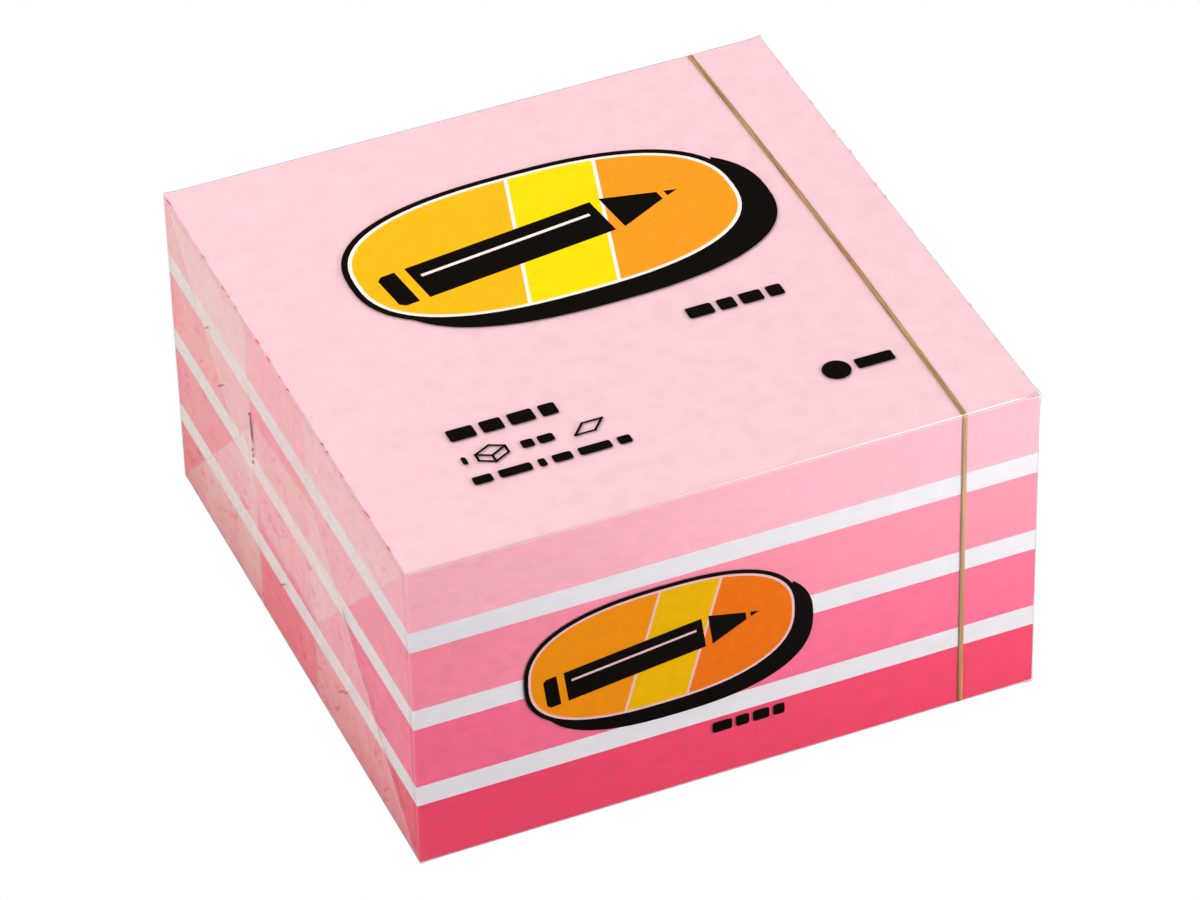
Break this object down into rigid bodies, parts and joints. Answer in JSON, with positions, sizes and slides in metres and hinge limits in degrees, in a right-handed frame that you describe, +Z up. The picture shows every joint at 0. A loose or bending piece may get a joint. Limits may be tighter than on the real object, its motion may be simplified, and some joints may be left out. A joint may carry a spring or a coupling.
{
  "type": "sticky note pad",
  "caption": "Square cube pad of adhesive notes in pink and white paper blocks, sealed in a clear film wrap with a tear tape.",
  "frame": {"origin": "middle of the face that the pack stands on", "axes": "+X to the right along the front face, +Y to the back, +Z up; the film's end folds are on the -X and +X faces"},
  "size_m": [0.0764, 0.0763, 0.0422],
  "materials": {
    "clear_film": "gloss",
    "amber_tape": "gloss",
    "pale_pink_paper": "matte",
    "light_pink_paper": "matte",
    "rose_pink_paper": "matte",
    "hot_pink_paper": "matte",
    "white_paper": "matte",
    "release_paper": "matte"
  },
  "bodies": {
    "root": {"film_wrap": "clear_film", "tear_tape": "amber_tape", "pale_pink_notes": "pale_pink_paper", "upper_white_notes": "white_paper", "light_pink_notes": "light_pink_paper", "middle_white_notes": "white_paper", "rose_pink_notes": "rose_pink_paper", "lower_white_notes": "white_paper", "hot_pink_notes": "hot_pink_paper", "release_sheet": "release_paper"}
  },
  "joints": []
}
